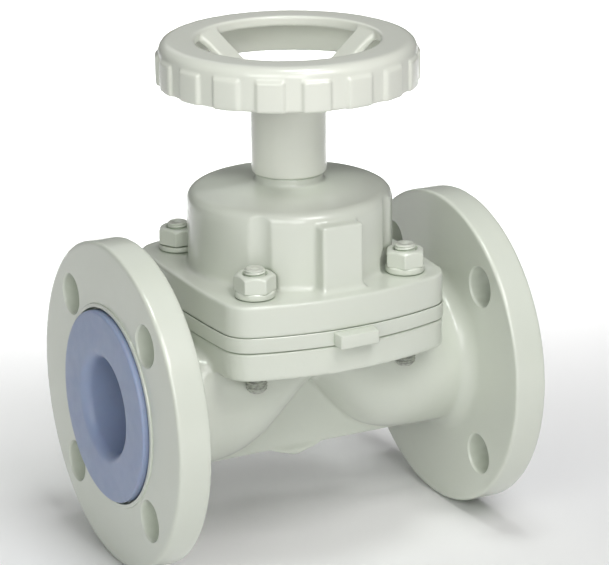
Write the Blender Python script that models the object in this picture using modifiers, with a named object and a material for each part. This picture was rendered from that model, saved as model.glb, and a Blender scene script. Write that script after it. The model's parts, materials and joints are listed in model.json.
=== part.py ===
"""Flanged weir-type diaphragm valve, DN 50, with a lined body and a rising handwheel.

Frame: the origin is where the spindle axis crosses the bore axis, midway between the
pipe flanges. +X runs along the pipe and +Z up the spindle. The valve is closed.

Every size below is in millimetres, and the helpers turn it into metres.
"""
import bpy
import bmesh
from math import atan2, copysign, cos, exp, pi, radians, sin, sqrt
from mathutils import Matrix, Vector

MM = 0.001
GAP = 0.3                    # clearance between pieces that bear on each other
SINK = 0.4                   # how far one part of a casting starts inside its neighbour
BEYOND = 5.0                 # how far a cutter runs past the faces it goes through
FLANGE_ROUND = 28            # steps of a pipe flange and what seats in it
ROUND = 24                   # steps of any other large turned shape
MID_ROUND = 20               # steps of the spindle and what it turns in
HOLE_ROUND = 16              # steps of a pin or a pipe bolt hole
SMALL_ROUND = 12             # steps of a fastener
SHARP = radians(35)          # an edge steeper than this stays sharp

# pipe flanges, JIS 10K 50A
FACE_TO_FACE = 190.0         # between the two iron flange faces
FLANGE_R = 77.5
FLANGE_T = 16.0
FLANGE_EDGE = 1.2
PCD = 120.0
BOLT_HOLE_R = 9.5
LIP_R = 48.3                 # raised lip round the gasket face
LIP_T = 0.8

# lined flow passage
BORE_R = 22.8
LINER_T = 3.2
LINER_FACE_R = 45.4
LINER_PLAY = 0.9             # between the lining's edge and the iron round it
LINER_PROUD = 3.5            # how far the gasket face stands off the iron face
LINER_SEAT = 3.0             # depth of the liner's recess in the flange
MOUTH_R = 5.0                # rounding of the port's mouth
RAMP = 60.0                  # distance from the weir at which the bore floor is level
WEIR_SPREAD = 22.0           # how far the floor's hump spreads along the pipe
HUMP_POWER = 1.8             # shape of both humps' flanks
WEIR_TOP = 10.0
WEIR_HALF = 3.0              # half the width of the weir's crest
WEIR_STEP = 0.8              # height of the crest above the floors beside it
PASSAGE_ROOF = 27.0          # roof of the passage above the crest, inside the bowl
BOWL_R = 39.0                # opening under the diaphragm
BOWL_SAG = 24.5              # depth of the bowl, from the body's top to the crest
BOWL_STEPS = 6
PASSAGE_SIDES = 20
TOP_SEAT_R = 44.0            # the liner's flange under the diaphragm
TOP_SEAT_T = 2.2

# cast body
NECK_R = 35.5
NECK_FILLET = 8.0
BELLY_RAMP = 64.0
BELLY_SPREAD = 23.5
BELLY_TOP = 0.0              # underside of the casting at the weir
BELLY_SIDES = 24
SHOULDER = (58.0, 72.0)      # distances over which the neck leaves the square flange
SHOULDER_TOP = 28.0          # top of the casting inside the square flange
SHOULDER_POWER = 0.35        # below 1 squares off the casting's upper half
WEB = (74.0, 4.0, -37.0, 2.0)    # reach, half width, bottom, top
FOOT = ((-30.0, 14.5, 3.9), (-37.0, 14.0, 5.5), (-41.0, 2.5, 4.5))   # height, half length, half width
BODY_FLANGE = (21.0, 34.5)   # bottom and top of the body's square flange
BODY_FLANGE_EDGE = 1.0

# square flanges, diaphragm edge
HALF_X = 58.5
HALF_Y = 63.5
CORNER = 42.5                # centre of each corner's arc, from both axes
CORNER_R = 14.0
FACING_R = 49.0
FACING_T = 2.2
CUSHION_TOP = 41.2
CUSHION_PROUD = 0.4          # the cushion's edge stands out past the two flanges
CUSHION_CORE_R = 46.0
INSERT_TOP = 27.5            # top of the stud moulded into the diaphragm
TAB_HALF = 10.0
TAB_REACH = 70.5

# bonnet
BONNET_FLANGE = (41.5, 57.0)
HOUSING_R = 48.3
HOUSING_SHOULDER = 93.0      # where the crown starts to slope
SHOULDER_R = 6.0
CROWN_TOP = 96.4
COLLAR = (16.0, 100.4)       # radius, top
NECK = (15.0, 122.0)         # radius, top
NECK_CHAMFER = 0.8
BONNET_FLANGE_EDGE = 1.5
CAVITY_R = 41.5
CAVITY_ROOF_R = 34.0
CAVITY_TOP = 88.0
WALL_BITE = 2.5              # how far a rib or a pad reaches into the housing's wall
PAD_HALF = 10.5
PAD_REACH = 54.3
PAD_TOP = 88.0
GUIDE_RIB = (34.6, 4.0, 42.5, 80.0)  # inner face, half width, bottom, top
BASE_FILLET = 3.0

# bonnet fasteners, M10
STUD_X, STUD_Y = 39.0, 41.5
STUD_R = 5.0
STUD_SPAN = (10.6, 70.4)
STUD_CHAMFER = 0.8
STUD_PLAY = 0.5
SPOT_Z = 56.8
SPOT_R = 12.3
SPOT_TOP = 65.0
GROOVE_R = 10.4
WASHER_R = 9.2
WASHER_T = 2.5
INNER_WASHER_R = 12.0        # thrust washer and hub washer
NUT_FLATS = 17.0
NUT_T = 8.0
NUT_CHAMFER = 1.6

# spindle and what it turns in
THREAD_R = 8.0
JOURNAL_R = 6.0
SPIGOT_R = 6.0
SPIGOT_BOTTOM = 30.0
SPINDLE_SHOULDER = 58.0
SPINDLE_TOP = 151.0
INSERT_R = 4.0
COMPRESSOR_R = 32.0
COMPRESSOR_DECK = 46.0
ARM_ROOT = 20.0
GUIDE_PLAY = 0.4
CHAMFER = 1.0
BOSS = (13.5, 53.5)          # radius, top
ARM = (38.0, 11.0, 42.0, 47.0)   # reach, half width, bottom, top
PIN_Z = 49.5
PIN_R = 2.0
PIN_HALF = 11.0
PIN_GROOVE_R = 4.2
BUSH_R = 10.8
BUSH_BORE_R = 8.3
BUSH_SPAN = (84.2, 125.4)
BUSH_FLANGE = (15.0, 3.5)    # radius, thickness
SEAL_GROOVE = (9.9, 111.0, 113.0)    # inside the bush: radius, bottom, top
SPINDLE_SEAL = (9.1, 0.65)           # middle radius, wire radius
NECK_GROOVE = (12.9, 116.1, 118.9)   # radius, bottom, top
NECK_SEAL = (13.95, 0.9)             # middle radius, wire radius
RETAINER = (13.2, 122.3, 124.0)      # radius, bottom, top
RETAINER_GROOVE_R = 10.0
RETAINER_PLAY = 0.1

# handwheel
RIM_R = 61.5
GRIP_DEPTH = 1.4
GRIPS = 18
GRIP_TURN = radians(-4.4)    # from +X to the middle of a pad
GRIP_SHARES = (-0.27, 0.27, 0.34, 0.66)  # where a pad starts and ends and the hollow after it
GRIP_DROP = 6.4              # from the rim's top to the top of a pad
RIM_BOTTOM = 144.4
RIM_TOP = 164.3
RIM_PLATE_T = 4.9
SKIRT_INNER_R = 57.4
RIM_EYE_R = 43.2
RIM_CROWN = ((RIM_EYE_R, 0.0), (56.5, 0.0), (59.2, 1.3), (60.1, 4.0))    # radius, drop from the top
HUB_R = 17.65
HUB_CHAMFER = 2.0
HUB_BORE_R = 15.35
HUB_BOTTOM = 100.7
HUB_ROOF = 128.0
HUB_TOP = 140.0
KEY = (4.2, 7.9, 2.0, 129.0, 138.5)  # inner face, outer face, half width, bottom, top
HUB_NUT_FLATS = 19.0
HUB_NUT = (142.6, 149.4)     # bottom, top
SPOKES = 3
SPOKE_START = radians(3.5)
SPOKE_ENDS = ((13.5, 6.2, 132.0, 139.3), (43.8, 7.5, 159.6, 163.8))  # radius, half width, bottom, top


# ---------------------------------------------------------------- scene and helpers

def clear_scene():
    for old in list(bpy.data.objects):
        bpy.data.objects.remove(old, do_unlink=True)


def new_collection(name):
    group = bpy.data.collections.new(name)
    bpy.context.scene.collection.children.link(group)
    return group


clear_scene()
VALVE = new_collection("diaphragm_valve")
CUTTERS = new_collection("cutters")


def material(name, color, roughness, metallic=0.0):
    made = bpy.data.materials.new(name)
    made.use_nodes = True
    shader = made.node_tree.nodes["Principled BSDF"]
    shader.inputs["Base Color"].default_value = (*color, 1.0)
    shader.inputs["Roughness"].default_value = roughness
    shader.inputs["Metallic"].default_value = metallic
    return made


PAINT = material("grey_green_enamel", (0.66, 0.67, 0.60), 0.28)
LINING = material("fluoroplastic_lining", (0.33, 0.36, 0.55), 0.35)
PTFE = material("white_fluoroplastic", (0.85, 0.85, 0.83), 0.40)
RUBBER = material("black_rubber", (0.03, 0.03, 0.03), 0.70)
PAINTED_RUBBER = material("painted_rubber", (0.62, 0.63, 0.56), 0.45)
STEEL = material("machined_steel", (0.55, 0.55, 0.56), 0.30, 1.0)
BRONZE = material("bronze", (0.55, 0.38, 0.18), 0.35, 1.0)


def add_object(name, mesh, finish=None, at=(0, 0, 0)):
    """A piece of the valve when it has a finish, otherwise a hidden cutter."""
    piece = bpy.data.objects.new(name, mesh)
    piece.location = Vector(at) * MM
    if finish:
        mesh.materials.append(finish)
        VALVE.objects.link(piece)
    else:
        CUTTERS.objects.link(piece)
        piece.hide_render = True
        piece.display_type = "WIRE"
    return piece


def mesh_from(name, shape, smooth=True):
    bmesh.ops.recalc_face_normals(shape, faces=shape.faces)
    mesh = bpy.data.meshes.new(name)
    shape.to_mesh(mesh)
    shape.free()
    if smooth:
        mesh.shade_smooth()
        mesh.set_sharp_from_angle(angle=SHARP)
    return mesh


def turned(name, profile, finish=None, steps=ROUND, at=(0, 0, 0), lie=0.0):
    """Turns (radius, height) points about the axis. The profile runs down its outer side.

    A profile that ends off the axis is closed into a ring. lie tips the axis from +Z
    towards +X.
    """
    shape = bmesh.new()
    points = [shape.verts.new((r * MM, 0.0, z * MM)) for r, z in profile]
    for upper, lower in zip(points, points[1:]):
        shape.edges.new((upper, lower))
    if profile[0][0] > 0:
        shape.edges.new((points[-1], points[0]))
    mesh = bpy.data.meshes.new(name)
    shape.to_mesh(mesh)
    shape.free()
    piece = add_object(name, mesh, finish, at)
    piece.rotation_euler = (0.0, lie, 0.0)
    screw = piece.modifiers.new("turn", "SCREW")
    screw.steps = steps
    screw.render_steps = steps
    screw.use_merge_vertices = True
    screw.merge_threshold = 0.00001
    screw.use_smooth_shade = True
    return piece


def rod(name, radius, bottom, top, finish=None, steps=SMALL_ROUND, at=(0, 0), turn=0.0, lie=None):
    """A cylinder or prism from bottom to top; lie is a rotation matrix for its axis."""
    shape = bmesh.new()
    bmesh.ops.create_cone(shape, cap_ends=True, segments=steps, radius1=radius * MM,
                          radius2=radius * MM, depth=(top - bottom) * MM,
                          matrix=Matrix.Translation((0, 0, (top + bottom) / 2 * MM)))
    bmesh.ops.rotate(shape, verts=shape.verts, matrix=Matrix.Rotation(turn, 3, "Z"))
    if lie:
        bmesh.ops.rotate(shape, verts=shape.verts, matrix=lie)
    return add_object(name, mesh_from(name, shape), finish, (*at, 0) if len(at) == 2 else at)


def box(name, low, high, finish=None, taper=1.0):
    """A block between two corners; taper scales its bottom face."""
    middle = (Vector(low) + Vector(high)) / 2 * MM
    size = (Vector(high) - Vector(low)) * MM
    shape = bmesh.new()
    bmesh.ops.create_cube(shape, size=1.0)
    for corner in shape.verts:
        spread = taper if corner.co.z < 0 else 1.0
        corner.co = middle + Vector((corner.co.x * size.x * spread,
                                     corner.co.y * size.y * spread,
                                     corner.co.z * size.z))
    return add_object(name, mesh_from(name, shape, smooth=False), finish)


def ring(name, middle_r, wire_r, height, finish):
    """An O-ring."""
    around = [(middle_r + wire_r * cos(a), height + wire_r * sin(a))
              for a in (pi / 2 - 2 * pi * k / 6 for k in range(6))]
    return turned(name, around, finish, steps=MID_ROUND)


def flat_ring(name, outer_r, inner_r, bottom, top, finish, steps=SMALL_ROUND, at=(0, 0)):
    """A washer."""
    return turned(name, [(outer_r, top), (outer_r, bottom), (inner_r, bottom), (inner_r, top)],
                  finish, steps=steps, at=(*at, 0))


def plate(name, outline, bottom, top, finish=None, edge=0.0):
    """A flat outline between two heights, with its edges rounded by edge."""
    curve = bpy.data.curves.new(name, "CURVE")
    curve.dimensions = "2D"
    curve.fill_mode = "BOTH"
    curve.extrude = ((top - bottom) / 2 - edge) * MM
    curve.bevel_depth = edge * MM
    curve.bevel_resolution = 0
    curve.offset = -edge * MM
    spline = curve.splines.new("POLY")
    spline.points.add(len(outline) - 1)
    for point, (x, y) in zip(spline.points, outline):
        point.co = (x * MM, y * MM, 0.0, 1.0)
    spline.use_cyclic_u = True
    drawn = bpy.data.objects.new(name + "_outline", curve)
    drawn.location = (0, 0, (top + bottom) / 2 * MM)
    CUTTERS.objects.link(drawn)
    bpy.context.view_layer.update()
    seen = drawn.evaluated_get(bpy.context.evaluated_depsgraph_get())
    mesh = bpy.data.meshes.new_from_object(seen)
    mesh.name = name
    shape = bmesh.new()
    shape.from_mesh(mesh)
    bmesh.ops.remove_doubles(shape, verts=shape.verts, dist=0.00001)
    bmesh.ops.recalc_face_normals(shape, faces=shape.faces)
    shape.to_mesh(mesh)
    shape.free()
    mesh.shade_smooth()
    mesh.set_sharp_from_angle(angle=SHARP)
    piece = add_object(name, mesh, finish)
    piece.matrix_world = drawn.matrix_world
    bpy.data.objects.remove(drawn, do_unlink=True)
    return piece


def loft(name, sections, finish=None):
    """Joins sections of equal point count into one closed body with flat ends."""
    shape = bmesh.new()
    rows = [[shape.verts.new(Vector(p) * MM) for p in section] for section in sections]
    for row, after in zip(rows, rows[1:]):
        for k in range(len(row)):
            n = (k + 1) % len(row)
            shape.faces.new((row[k], row[n], after[n], after[k]))
    shape.faces.new(rows[0])
    shape.faces.new(list(reversed(rows[-1])))
    bmesh.ops.triangulate(shape, faces=[f for f in shape.faces if len(f.verts) == 4])
    return add_object(name, mesh_from(name, shape), finish)


def boolean(piece, other, operation):
    step = piece.modifiers.new(operation.lower() + "_" + other.name, "BOOLEAN")
    step.operation = operation
    step.solver = "EXACT"
    step.object = other


def join(piece, *others):
    for other in others:
        boolean(piece, other, "UNION")


def cut(piece, *others):
    for other in others:
        boolean(piece, other, "DIFFERENCE")


def arc(middle, radius, start, end, count):
    """Points on a circle from angle start to end, both included."""
    angles = [start + (end - start) * k / count for k in range(count + 1)]
    return [(middle[0] + radius * cos(a), middle[1] + radius * sin(a)) for a in angles]


# ---------------------------------------------------------------- shared shapes

def side_arc(reach):
    """Centre distance behind the origin of a side's long arc that blends into the corners."""
    inner = reach - CORNER_R
    return (2 * CORNER ** 2 - inner ** 2) / (2 * (inner - CORNER))


def flange_outline(inset=0.0, tab=False):
    """Square flange with four corner arcs and four bulged sides, counter-clockwise."""
    back_y, back_x = side_arc(HALF_Y), side_arc(HALF_X)
    split_y = atan2(CORNER, CORNER + back_y)     # half angle of the front and rear arcs
    split_x = atan2(CORNER, CORNER + back_x)     # half angle of the left and right arcs
    points = []
    for turn in range(4):
        front = turn % 2 == 0                    # starts with the front side, at -Y
        reach, back, half = (HALF_Y, back_y, split_y) if front else (HALF_X, back_x, split_x)
        other = split_x if front else split_y
        radius = reach + back - inset
        side = arc((0, back), radius, -pi / 2 - half, -pi / 2 + half, 6)
        if front and tab and turn == 0:
            root = back - sqrt(radius ** 2 - TAB_HALF ** 2)
            side = ([p for p in side if p[0] < -TAB_HALF]
                    + [(-TAB_HALF, root), (-TAB_HALF, -TAB_REACH),
                       (TAB_HALF, -TAB_REACH), (TAB_HALF, root)]
                    + [p for p in side if p[0] > TAB_HALF])
        corner = arc((CORNER, -CORNER), CORNER_R - inset, -pi / 2 + half, -other, 4)
        heading = Matrix.Rotation(turn * pi / 2, 2)
        for x, y in side + corner[1:-1]:
            spot = heading @ Vector((x, y))
            points.append((spot.x, spot.y))
    return points


def hump(x, spread):
    """1 over the weir, falling away smoothly along the pipe."""
    return exp(-(abs(x) / spread) ** HUMP_POWER)


def stations(reach, count):
    """Distances from the weir, closer together where the hump is steep."""
    return [reach * (k / count) ** 1.3 for k in range(1, count + 1)]


def mirrored(half):
    return [-x for x in reversed(half)] + [0.0] + half


def passage_section(x, grow):
    """The bore at one place along the pipe: round at the ports, raised over the weir."""
    lift = hump(x, WEIR_SPREAD)
    floor = -BORE_R + (WEIR_TOP - WEIR_STEP + BORE_R) * lift
    roof = BORE_R + (PASSAGE_ROOF - BORE_R) * lift
    middle, half = (roof + floor) / 2, (roof - floor) / 2
    return [(x, (BORE_R + grow) * cos(a), middle + (half + grow) * sin(a))
            for a in (2 * pi * k / PASSAGE_SIDES for k in range(PASSAGE_SIDES))]


def outer_passage(name, grow, end, finish=None):
    """The bore grown all round, in one run through the valve."""
    return loft(name, [passage_section(x, grow) for x in mirrored(stations(RAMP, 6) + [end])], finish)


def inner_passage(name, side):
    """The bore from beyond one rounded port to the weir's crest."""
    face = FACE_TO_FACE / 2 + LINER_PROUD
    flare = [(face - MOUTH_R * (1 - sin(a)), MOUTH_R * (1 - cos(a)))
             for a in (pi / 2, radians(62), radians(36), 0.0)]
    run = [(face + 2, MOUTH_R)] + flare + [(x, 0.0) for x in reversed(stations(RAMP, 6))]
    return loft(name, [passage_section(side * x, grow) for x, grow in run + [(WEIR_HALF, 0.0)]])


def bowl_height(r):
    return WEIR_TOP + BOWL_SAG * (r / BOWL_R) ** 2


def bowl(name, grow, top):
    """The bowl that the diaphragm sinks into, grown evenly outwards."""
    wall = []
    for k in range(BOWL_STEPS, -1, -1):
        r = BOWL_R * k / BOWL_STEPS
        lean = atan2(2 * BOWL_SAG * r, BOWL_R ** 2)
        wall.append((r + grow * sin(lean), bowl_height(r) - grow * cos(lean)))
    return turned(name, [(0, top), (wall[0][0], top)] + wall)


def stud_places():
    return {"front_left": (-STUD_X, -STUD_Y), "front_right": (STUD_X, -STUD_Y),
            "rear_left": (-STUD_X, STUD_Y), "rear_right": (STUD_X, STUD_Y)}


def stud_hole(name, radius, bottom, top):
    return [rod(name + "_" + place, radius, bottom, top, at=at)
            for place, at in stud_places().items()]


# ---------------------------------------------------------------- body and liner

def pipe_flange(name, side):
    """Flange disc, its raised lip and the fillet down to the neck."""
    face, back = FACE_TO_FACE / 2, FACE_TO_FACE / 2 - FLANGE_T
    fillet = arc((NECK_R + NECK_FILLET - SINK, back - NECK_FILLET), NECK_FILLET, pi / 2, pi, 3)
    profile = [(0, face + LIP_T), (LIP_R, face + LIP_T), (LIP_R, face),
               (FLANGE_R - FLANGE_EDGE, face), (FLANGE_R, face - FLANGE_EDGE),
               (FLANGE_R, back + FLANGE_EDGE), (FLANGE_R - FLANGE_EDGE, back)]
    return turned(name, profile + fillet + [(0, back - NECK_FILLET)], steps=FLANGE_ROUND,
                  lie=side * pi / 2)


def belly_section(x):
    """Outside of the casting: round at the necks, drawn up to the square flange at the weir."""
    lift = hump(x, BELLY_SPREAD)
    inner, outer = SHOULDER
    inside = min(max((outer - abs(x)) / (outer - inner), 0.0), 1.0)
    bottom = -NECK_R + (BELLY_TOP + NECK_R) * lift
    middle = BODY_FLANGE[0] * lift
    top = NECK_R + (SHOULDER_TOP - NECK_R) * inside
    power = 1.0 + (SHOULDER_POWER - 1.0) * inside
    section = []
    for k in range(BELLY_SIDES):
        across, up = cos(2 * pi * k / BELLY_SIDES), sin(2 * pi * k / BELLY_SIDES)
        if up > 0:
            across = copysign(abs(across) ** power, across)
            section.append((x, NECK_R * across, middle + (top - middle) * up ** power))
        else:
            section.append((x, NECK_R * across, middle + (middle - bottom) * up))
    return section


def rectangle(height, half_x, half_y):
    return [(-half_x, -half_y, height), (half_x, -half_y, height),
            (half_x, half_y, height), (-half_x, half_y, height)]


def make_body():
    face = FACE_TO_FACE / 2
    reach, half, low, high = WEB
    places = mirrored(stations(BELLY_RAMP, 8) + [SHOULDER[1], face - FLANGE_T / 2])
    body = loft("body", [belly_section(x) for x in places], PAINT)
    join(body,
         plate("body_square_flange", flange_outline(), *BODY_FLANGE, edge=BODY_FLANGE_EDGE),
         pipe_flange("body_flange_left", -1),
         pipe_flange("body_flange_right", 1),
         box("body_web", (-reach, -half, low), (reach, half, high)),
         loft("body_foot", [rectangle(*level) for level in FOOT]))
    for side, name in ((-1, "left"), (1, "right")):
        along = side * pi / 2
        seat_r, seat_z = LINER_FACE_R + LINER_PLAY, face - LINER_SEAT
        cut(body, turned("liner_seat_" + name,
                         [(0, face + BEYOND), (seat_r, face + BEYOND), (seat_r, seat_z), (0, seat_z)],
                         steps=FLANGE_ROUND, lie=along))
        for k in range(4):
            a = pi / 4 + k * pi / 2
            cut(body, rod(f"pipe_bolt_hole_{name}_{k}", BOLT_HOLE_R, SHOULDER[0], face + BEYOND,
                          lie=Matrix.Rotation(along, 3, "Y"), steps=HOLE_ROUND,
                          at=(0, PCD / 2 * cos(a), PCD / 2 * sin(a))))
    top = BODY_FLANGE[1]
    cut(body,
        outer_passage("body_passage", LINER_T + GAP, face),
        bowl("body_bowl", LINER_T + GAP, top + BEYOND),
        rod("liner_top_seat", TOP_SEAT_R + GAP, top - TOP_SEAT_T - GAP, top + BEYOND, steps=ROUND))
    cut(body, *stud_hole("body_stud_hole", STUD_R + GAP, BODY_FLANGE[0] - BEYOND, top + BEYOND))


def make_liner():
    face = FACE_TO_FACE / 2
    top = BODY_FLANGE[1]
    liner = outer_passage("body_liner", LINER_T, face - 1, LINING)
    join(liner,
         rod("liner_top_flange", TOP_SEAT_R, top - TOP_SEAT_T, top, steps=ROUND),
         bowl("liner_bowl_outside", LINER_T, top - GAP))
    for side, name in ((-1, "left"), (1, "right")):
        join(liner, turned("liner_face_" + name,
                           [(0, face + LINER_PROUD), (LINER_FACE_R, face + LINER_PROUD),
                            (LINER_FACE_R, face - LINER_SEAT + GAP), (0, face - LINER_SEAT + GAP)],
                           steps=FLANGE_ROUND, lie=side * pi / 2))
        cut(liner, inner_passage("liner_inside_" + name, side))
    cut(liner, bowl("liner_bowl_inside", 0.0, top + BEYOND))


# ---------------------------------------------------------------- diaphragm

def dish(offset):
    """Points of the closed diaphragm's meridian, offset upwards, from rim to centre."""
    radii = [BOWL_R * k / BOWL_STEPS for k in range(BOWL_STEPS, -1, -1)]
    return [(r, bowl_height(r) + offset) for r in radii]


def make_diaphragm():
    low = GAP
    high = GAP + FACING_T
    rim = BODY_FLANGE[1]
    facing = dish(high)[::-1] + [(FACING_R, rim + high), (FACING_R, rim + low)] + dish(low)
    turned("diaphragm_facing", facing, PTFE)

    under = high + GAP
    over = CUSHION_TOP - rim
    cushion = plate("diaphragm_cushion", flange_outline(-CUSHION_PROUD, tab=True),
                    rim + GAP, CUSHION_TOP, PAINTED_RUBBER)
    join(cushion, rod("cushion_core", CUSHION_CORE_R, 0, rim + under + CHAMFER, steps=ROUND))
    lower = dish(under)[::-1] + [(FACING_R + GAP, rim + under), (FACING_R + GAP, -BEYOND), (0, -BEYOND)]
    cut(cushion, turned("cushion_underside", lower))
    widest, above = BOWL_R * 1.05, CUSHION_TOP + BEYOND
    upper = [(0, above), (widest, above), (widest, bowl_height(widest) + over)] + dish(over)
    cut(cushion, turned("cushion_topside", upper))
    cut(cushion, rod("cushion_stud_hole", INSERT_R + GAP, 0, above))
    cut(cushion, *stud_hole("cushion_hole", STUD_R + STUD_PLAY, rim - BEYOND, above))

    seat = bowl_height(0) + high + GAP
    turned("diaphragm_insert_stud",
           [(0, INSERT_TOP), (INSERT_R, INSERT_TOP), (INSERT_R, seat + CHAMFER),
            (INSERT_R - CHAMFER, seat), (0, seat)],
           STEEL, steps=SMALL_ROUND)


# ---------------------------------------------------------------- compressor

def flip(side, low, high):
    """The two corners of a block, mirrored across X = 0 when side is -1."""
    near, far = sorted((side * low[0], side * high[0]))
    return (near, *low[1:]), (far, *high[1:])


def make_compressor():
    clear = CUSHION_TOP - BODY_FLANGE[1] + GAP
    belly = [(r * COMPRESSOR_R / BOWL_R, bowl_height(r * COMPRESSOR_R / BOWL_R) + clear)
             for r, _ in dish(clear)]
    boss_r, boss_top = BOSS
    compressor = turned("compressor", [(0, boss_top), (boss_r - CHAMFER, boss_top),
                                       (boss_r, boss_top - CHAMFER), (boss_r, COMPRESSOR_DECK),
                                       (belly[0][0], COMPRESSOR_DECK)] + belly, PAINT)
    reach, half, bottom, top = ARM
    rib_face, rib_half = GUIDE_RIB[:2]
    slot_face, slot_half = rib_face - GUIDE_PLAY, rib_half + GUIDE_PLAY
    for side, name in ((-1, "left"), (1, "right")):
        join(compressor, box("compressor_arm_" + name,
                             *flip(side, (ARM_ROOT, -half, bottom), (reach, half, top))))
        cut(compressor, box("guide_slot_" + name,
                            *flip(side, (slot_face, -slot_half, bottom - BEYOND),
                                  (reach + BEYOND, slot_half, top + BEYOND))))
    cut(compressor,
        rod("spigot_hole", SPIGOT_R + GAP, SPIGOT_BOTTOM - CHAMFER, boss_top + BEYOND, steps=MID_ROUND),
        rod("insert_hole", INSERT_R + GAP, 0, SPIGOT_BOTTOM + BEYOND))
    across = Matrix.Rotation(pi / 2, 3, "Y")
    for side, name in ((-1, "front"), (1, "rear")):
        at = (0, side * (PIN_GROOVE_R + PIN_R + GAP), PIN_Z)
        cut(compressor, rod("pin_hole_" + name, PIN_R + GAP, -boss_r - BEYOND, boss_r + BEYOND,
                            at=at, lie=across, steps=HOLE_ROUND))
        rod("compressor_pin_" + name, PIN_R, -PIN_HALF, PIN_HALF, STEEL, at=at, lie=across,
            steps=HOLE_ROUND)
    flat_ring("thrust_washer", INNER_WASHER_R, SPIGOT_R + GAP, boss_top + GAP, SPINDLE_SHOULDER - GAP,
              BRONZE, MID_ROUND)


# ---------------------------------------------------------------- bonnet

def make_bonnet():
    neck_r, neck_top = NECK
    groove_r, groove_low, groove_high = NECK_GROOVE
    collar_r, collar_top = COLLAR
    flange_low, flange_top = BONNET_FLANGE
    buried = flange_top - BEYOND                 # start of everything that rises from the flange
    shoulder = arc((HOUSING_R - SHOULDER_R, HOUSING_SHOULDER - SHOULDER_R), SHOULDER_R, pi / 2, 0, 3)
    fillet = arc((HOUSING_R + BASE_FILLET, flange_top + BASE_FILLET), BASE_FILLET, pi, 3 * pi / 2, 2)
    bonnet = turned("bonnet", [(0, neck_top), (neck_r - NECK_CHAMFER, neck_top),
                               (neck_r, neck_top - NECK_CHAMFER),
                               (neck_r, groove_high), (groove_r, groove_high),
                               (groove_r, groove_low), (neck_r, groove_low),
                               (neck_r, collar_top), (collar_r, collar_top),
                               (collar_r, CROWN_TOP + CHAMFER), (collar_r + CHAMFER, CROWN_TOP)]
                    + shoulder + fillet + [(HOUSING_R + BASE_FILLET, buried), (0, buried)], PAINT)
    join(bonnet, plate("bonnet_square_flange", flange_outline(), *BONNET_FLANGE,
                       edge=BONNET_FLANGE_EDGE))
    inside = CAVITY_R + WALL_BITE
    for side, name in ((-1, "front"), (1, "rear")):
        low, high = sorted((side * PAD_REACH, side * inside))
        join(bonnet, box("bonnet_pad_" + name, (-PAD_HALF, low, buried), (PAD_HALF, high, PAD_TOP)))
    cut(bonnet, turned("bonnet_cavity", [(0, CAVITY_TOP), (CAVITY_ROOF_R, CAVITY_TOP),
                                         (CAVITY_R, CAVITY_TOP - CAVITY_R + CAVITY_ROOF_R),
                                         (CAVITY_R, flange_low - BEYOND), (0, flange_low - BEYOND)]))
    cut(bonnet, rod("bonnet_bore", BUSH_R + GAP, CAVITY_TOP - BEYOND, neck_top + BEYOND, steps=ROUND))
    rib_face, rib_half, rib_low, rib_high = GUIDE_RIB
    for side, name in ((-1, "left"), (1, "right")):
        join(bonnet, box("guide_rib_" + name,
                         *flip(side, (rib_face, -rib_half, rib_low), (inside, rib_half, rib_high))))
    for place, at in stud_places().items():
        cut(bonnet,
            rod("spot_face_" + place, SPOT_R, SPOT_Z, SPOT_TOP, at=at, steps=HOLE_ROUND),
            rod("wrench_groove_" + place, GROOVE_R, SPOT_Z, HOUSING_SHOULDER + BEYOND, at=at,
                steps=HOLE_ROUND))
    cut(bonnet, *stud_hole("bonnet_stud_hole", STUD_R + STUD_PLAY, flange_low - BEYOND,
                           flange_top + BEYOND))


def hex_nut(name, flats, bore_r, bottom, top, at=(0, 0)):
    """A nut with its upper corners turned off."""
    corner_r = flats / 2 / cos(pi / 6)
    nut = rod(name, corner_r, bottom, top, PAINT, steps=6, at=at, turn=pi / 6)
    outside = corner_r + CHAMFER
    crown = turned(name + "_chamfer",
                   [(0, top + CHAMFER), (flats / 2 - NUT_CHAMFER, top + CHAMFER),
                    (outside, top - NUT_CHAMFER), (outside, bottom - CHAMFER),
                    (0, bottom - CHAMFER)], at=(*at, 0), steps=SMALL_ROUND)
    boolean(nut, crown, "INTERSECT")
    cut(nut, rod(name + "_bore", bore_r, bottom - BEYOND, top + BEYOND, at=at))


def make_fasteners():
    washer = (SPOT_Z + GAP, SPOT_Z + GAP + WASHER_T)
    nut_bottom = washer[1] + GAP
    bore_r = STUD_R + GAP
    bottom, top = STUD_SPAN
    end_r = STUD_R - STUD_CHAMFER
    for place, at in stud_places().items():
        turned("bonnet_stud_" + place,
               [(0, top), (end_r, top), (STUD_R, top - STUD_CHAMFER), (STUD_R, bottom + STUD_CHAMFER),
                (end_r, bottom), (0, bottom)], PAINT, steps=SMALL_ROUND, at=(*at, 0))
        flat_ring("bonnet_washer_" + place, WASHER_R, bore_r, *washer, PAINT, at=at)
        hex_nut("bonnet_nut_" + place, NUT_FLATS, bore_r, nut_bottom, nut_bottom + NUT_T, at)


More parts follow.
